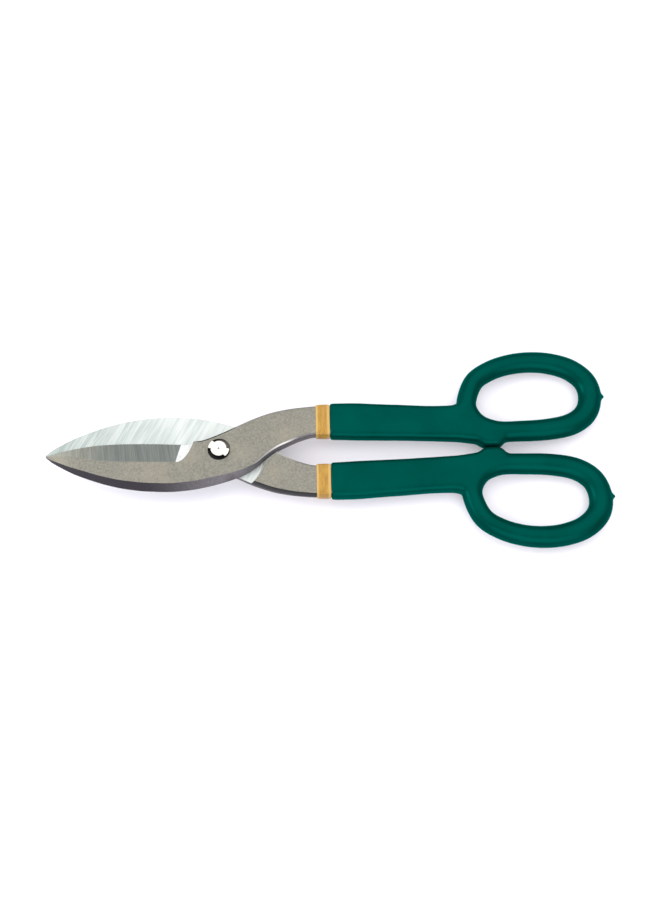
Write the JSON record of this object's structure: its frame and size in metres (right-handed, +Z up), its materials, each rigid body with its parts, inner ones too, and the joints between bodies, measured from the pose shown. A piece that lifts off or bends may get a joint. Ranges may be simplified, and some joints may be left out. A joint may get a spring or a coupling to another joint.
{
  "type": "tinner's snips",
  "caption": "Straight-pattern tinner's snips with long crossing blades on a bolted pivot, closed finger loops and dipped vinyl grips.",
  "frame": {"origin": "on the pivot axis, at the flat end of the pivot bolt's tail, which the snips rest on when laid flat", "axes": "+Z up along the pivot axis from the nut to the bolt head, +X from the pivot towards the finger loops, +Y towards the handle of the half whose blade lies on top"},
  "size_m": [0.3028, 0.1114, 0.0214],
  "materials": {
    "forged_steel": "blasted and ground",
    "dipped_vinyl": "semi-gloss dipped",
    "gold_band": "satin",
    "plated_steel": "bright plated"
  },
  "bodies": {
    "upper_half": {"upper_blade_half": "forged_steel", "upper_grip": "dipped_vinyl", "upper_grip_band": "gold_band", "pivot_bolt": "plated_steel", "flat_washer": "plated_steel", "spring_washer": "plated_steel", "pivot_nut": "plated_steel"},
    "lower_half": {"lower_blade_half": "forged_steel", "lower_grip": "dipped_vinyl", "lower_grip_band": "gold_band"}
  },
  "joints": [
    {"name": "jaw_hinge", "type": "hinge", "parent": "upper_half", "child": "lower_half", "pos_m": [0, 0, 0], "axis": [0, 0, -1], "range_deg": [0, 75]}
  ]
}
